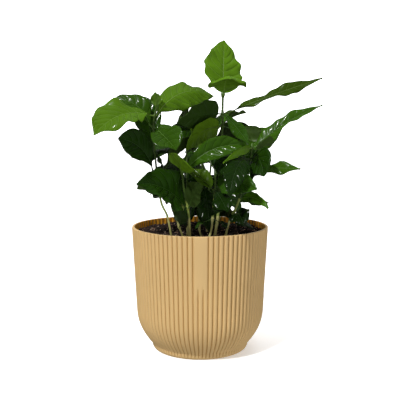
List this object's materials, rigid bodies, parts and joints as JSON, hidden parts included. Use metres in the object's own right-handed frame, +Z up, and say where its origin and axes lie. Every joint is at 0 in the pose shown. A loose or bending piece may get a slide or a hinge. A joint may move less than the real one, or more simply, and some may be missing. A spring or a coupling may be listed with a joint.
{
  "type": "potted coffee plant",
  "caption": "Clump of young coffee seedlings with glossy opposite leaves on thin stems, growing in a round ribbed plastic cover pot filled with soil.",
  "frame": {"origin": "centre of the pot's flat underside", "axes": "+Z up out of the pot; -Y towards the front of the plant, where the pot has its smooth strip; +X to the right seen from the front"},
  "size_m": [0.226, 0.162, 0.3175],
  "materials": {
    "pot_plastic": "matte ribbed sand-coloured moulded plastic",
    "potting_soil": "dark crumbly potting soil",
    "green_stem": "smooth yellow-green stem",
    "coffee_leaf": "glossy deep green leaf"
  },
  "bodies": {
    "root": {"leaves_centre_crown": "coffee_leaf", "leaves_centre_low": "coffee_leaf", "leaves_centre_second": "coffee_leaf", "leaves_centre_seed_leaves": "coffee_leaf", "leaves_inner_crown": "coffee_leaf", "leaves_left_bud": "coffee_leaf", "leaves_left_crown": "coffee_leaf", "leaves_left_low": "coffee_leaf", "leaves_left_second": "coffee_leaf", "leaves_left_third": "coffee_leaf", "leaves_middle_crown": "coffee_leaf", "leaves_middle_low": "coffee_leaf", "leaves_outer_crown": "coffee_leaf", "leaves_outer_seed_leaves": "coffee_leaf", "leaves_rear_left_bottom": "coffee_leaf", "leaves_rear_left_crown": "coffee_leaf", "leaves_rear_left_low": "coffee_leaf", "leaves_rear_left_second": "coffee_leaf", "leaves_rear_middle_bottom": "coffee_leaf", "leaves_rear_middle_crown": "coffee_leaf", "leaves_rear_middle_low": "coffee_leaf", "leaves_rear_middle_second": "coffee_leaf", "leaves_rear_right_bottom": "coffee_leaf", "leaves_rear_right_crown": "coffee_leaf", "leaves_rear_right_low": "coffee_leaf", "leaves_rear_right_second": "coffee_leaf", "leaves_rear_tall_bottom": "coffee_leaf", "leaves_rear_tall_crown": "coffee_leaf", "leaves_rear_tall_low": "coffee_leaf", "leaves_rear_tall_second": "coffee_leaf", "leaves_right_bottom": "coffee_leaf", "leaves_right_crown": "coffee_leaf", "leaves_right_low": "coffee_leaf", "leaves_right_second": "coffee_leaf", "leaves_right_seed_leaves": "coffee_leaf", "leaves_short_crown": "coffee_leaf", "leaves_tall_crown": "coffee_leaf", "leaves_tall_low": "coffee_leaf", "leaves_tall_spread": "coffee_leaf", "pot": "pot_plastic", "soil": "potting_soil", "stem_centre": "green_stem", "stem_inner": "green_stem", "stem_left": "green_stem", "stem_middle": "green_stem", "stem_outer": "green_stem", "stem_rear_left": "green_stem", "stem_rear_middle": "green_stem", "stem_rear_right": "green_stem", "stem_rear_tall": "green_stem", "stem_right": "green_stem", "stem_short": "green_stem", "stem_tall": "green_stem"}
  },
  "joints": []
}
